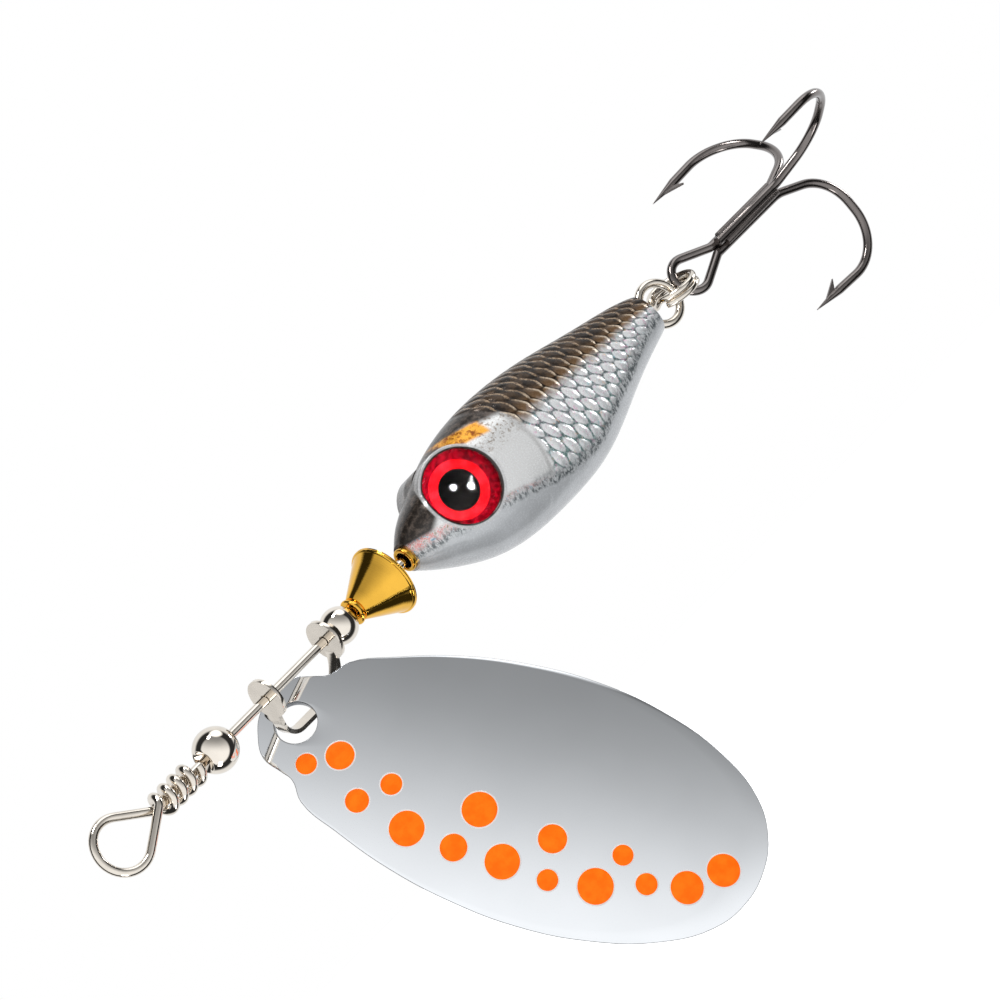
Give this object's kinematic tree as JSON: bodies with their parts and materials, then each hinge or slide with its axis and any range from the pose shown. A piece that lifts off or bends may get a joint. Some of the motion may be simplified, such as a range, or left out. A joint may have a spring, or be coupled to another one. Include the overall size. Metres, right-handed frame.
{
  "type": "inline spinner",
  "caption": "Inline spinner lure: wire shaft with line-tie loop, beads, folded clevis, dished blade, bell cap, cast minnow body, split ring and treble hook.",
  "frame": {"origin": "centre of the line-tie loop, on the shaft's axis", "axes": "+X forward along the shaft, +Y the minnow's left flank, +Z its back"},
  "size_m": [0.1065, 0.0223, 0.0496],
  "materials": {
    "nickel_wire": "bright nickel plated",
    "nickel_bead": "polished nickel plated",
    "blade_chrome": "mirror nickel with enamel spots",
    "gold_brass": "polished, lacquered",
    "tube_brass": "satin",
    "minnow_paint": "foil scale print under clear coat, dark back",
    "eye_print": "red foil print with black pupil",
    "eye_resin": "clear domed resin",
    "black_nickel": "black nickel plated",
    "braze": "plated over"
  },
  "bodies": {
    "wire": {"shaft_wire": "nickel_wire"},
    "front_bead": {"front_bead": "nickel_bead"},
    "clevis": {"clevis": "nickel_wire"},
    "blade": {"spinner_blade": "blade_chrome"},
    "bearing_bead": {"bearing_bead": "nickel_bead"},
    "bell_cap": {"bell_cap": "gold_brass"},
    "minnow": {"body_casting": "minnow_paint", "bore_tube": "tube_brass", "left_eye_film": "eye_print", "right_eye_film": "eye_print", "left_eye_lens": "eye_resin", "right_eye_lens": "eye_resin"},
    "split_ring": {"split_ring": "nickel_wire"},
    "treble": {"treble_double_hook": "black_nickel", "treble_single_hook": "black_nickel", "treble_braze": "braze"}
  },
  "joints": [
    {"name": "front_bead_spin", "type": "hinge", "parent": "wire", "child": "front_bead", "pos_m": [-0.01323, 0, 0], "axis": [1, 0, 0], "continuous": true},
    {"name": "clevis_spin", "type": "hinge", "parent": "wire", "child": "clevis", "pos_m": [-0.02473, 0, 0], "axis": [1, 0, 0], "continuous": true},
    {"name": "blade_swing", "type": "hinge", "parent": "clevis", "child": "blade", "pos_m": [-0.02257, -0.00302, -0.00226], "axis": [-0.5695, 0.7628, -0.3064], "range_deg": [-24, 55]},
    {"name": "bearing_bead_spin", "type": "hinge", "parent": "wire", "child": "bearing_bead", "pos_m": [-0.03093, 0, 0], "axis": [1, 0, 0], "continuous": true},
    {"name": "bell_cap_spin", "type": "hinge", "parent": "wire", "child": "bell_cap", "pos_m": [-0.03473, 0, 0], "axis": [1, 0, 0], "continuous": true},
    {"name": "minnow_spin", "type": "hinge", "parent": "wire", "child": "minnow", "pos_m": [-0.05898, 0, 0], "axis": [1, 0, 0], "continuous": true},
    {"name": "split_ring_swing", "type": "hinge", "parent": "wire", "child": "split_ring", "pos_m": [-0.07923, 0, 0], "axis": [0, 1, 0], "range_deg": [-40, 40]},
    {"name": "treble_swing", "type": "hinge", "parent": "split_ring", "child": "treble", "pos_m": [-0.08363, 0, 0], "axis": [0, 0.9397, -0.342], "range_deg": [-55, 55]}
  ]
}
